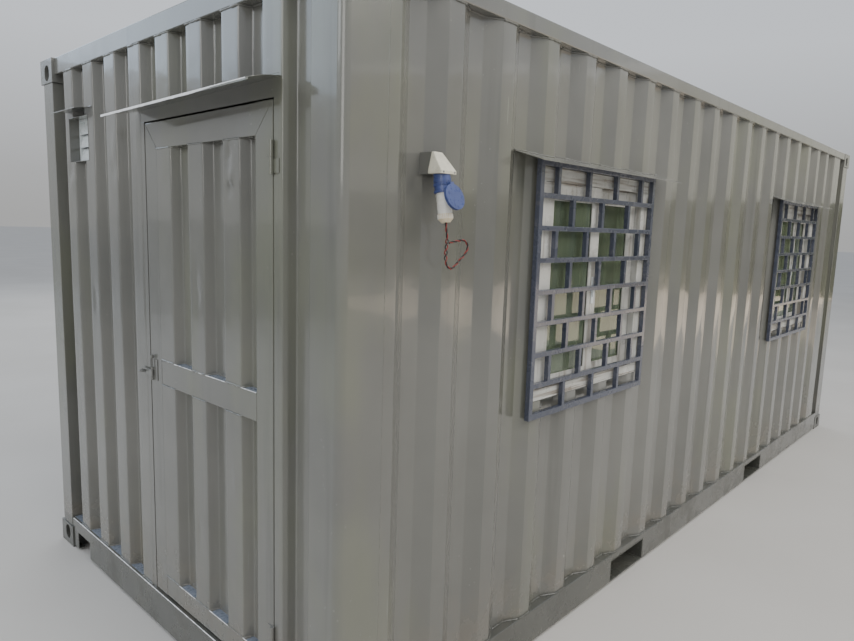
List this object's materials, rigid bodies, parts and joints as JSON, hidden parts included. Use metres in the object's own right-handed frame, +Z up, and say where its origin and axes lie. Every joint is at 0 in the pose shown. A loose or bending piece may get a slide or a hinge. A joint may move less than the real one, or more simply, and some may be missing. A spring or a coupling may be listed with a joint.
{
  "type": "shipping container cabin",
  "caption": "Steel container cabin with corrugated walls, an end door with a hasp, barred sliding windows, a vent, a canopy and an electrical inlet.",
  "frame": {"origin": "on the ground, midway between the four bottom corner castings' locking slots", "axes": "+X along the container away from the cabin door, +Z up; the windows face -Y"},
  "size_m": [6.191, 2.5454, 2.591],
  "materials": {
    "enamel_grey": "glossy enamel",
    "floor_steel": "satin",
    "plywood": "sealed plywood",
    "grille_blue": "gloss enamel",
    "upvc_white": "gloss",
    "window_glass": "clear float glass",
    "louvre_white": "gloss",
    "inlet_cream": "gloss",
    "inlet_blue": "gloss",
    "wire_red": "gloss",
    "bar_steel": "satin"
  },
  "bodies": {
    "cabin": {"bottom_castings": "enamel_grey", "top_castings": "enamel_grey", "door_end_posts": "enamel_grey", "cargo_end_posts": "enamel_grey", "bottom_side_rails": "enamel_grey", "top_side_rails": "enamel_grey", "door_end_top_rail": "enamel_grey", "door_end_sill": "enamel_grey", "cargo_header": "enamel_grey", "cargo_sill": "enamel_grey", "cross_members": "floor_steel", "fork_pockets": "enamel_grey", "floor_sheets": "plywood", "roof_sheet": "enamel_grey", "roof_end_plates": "enamel_grey", "window_wall_panels": "enamel_grey", "window_wall_infills": "enamel_grey", "back_wall": "enamel_grey", "end_wall_vent_side": "enamel_grey", "end_wall_over_door": "enamel_grey", "end_wall_hinge_side": "enamel_grey", "hinge_side_jamb": "enamel_grey", "latch_side_jamb": "enamel_grey", "door_head": "enamel_grey", "frame_hinge_halves": "enamel_grey", "hasp_staple": "enamel_grey", "canopy": "enamel_grey", "vent_sleeve": "enamel_grey", "vent_louvre": "louvre_white", "vent_hood": "enamel_grey", "window_1_grille": "grille_blue", "window_2_grille": "grille_blue", "window_hoods": "enamel_grey", "window_subframes": "enamel_grey", "window_frames": "upvc_white", "window_sashes": "upvc_white", "window_glass": "window_glass", "inlet_bracket": "enamel_grey", "inlet_housing": "inlet_cream", "inlet_collar": "inlet_blue", "inlet_lid": "inlet_blue", "inlet_plug": "inlet_cream", "gland_nut": "inlet_cream", "inlet_wires": "wire_red", "cargo_door_left": "enamel_grey", "cargo_door_right": "enamel_grey", "locking_bars": "bar_steel", "bar_keepers": "enamel_grey", "cargo_hinges": "enamel_grey"},
    "door": {"door_leaf_frame": "enamel_grey", "door_leaf_panels": "enamel_grey", "door_hinge_halves": "enamel_grey", "hasp_plate": "enamel_grey"},
    "hasp": {"hasp_strap": "enamel_grey"}
  },
  "joints": [
    {"name": "door_hinge", "type": "hinge", "parent": "cabin", "child": "door", "pos_m": [-3.02, -0.858, 0.178], "axis": [0, 0, 1], "range_deg": [0, 165]},
    {"name": "hasp_hinge", "type": "hinge", "parent": "door", "child": "hasp", "pos_m": [-3.021, 0.03, 1.16], "axis": [0, 0, 1], "range_deg": [0, 165]}
  ]
}
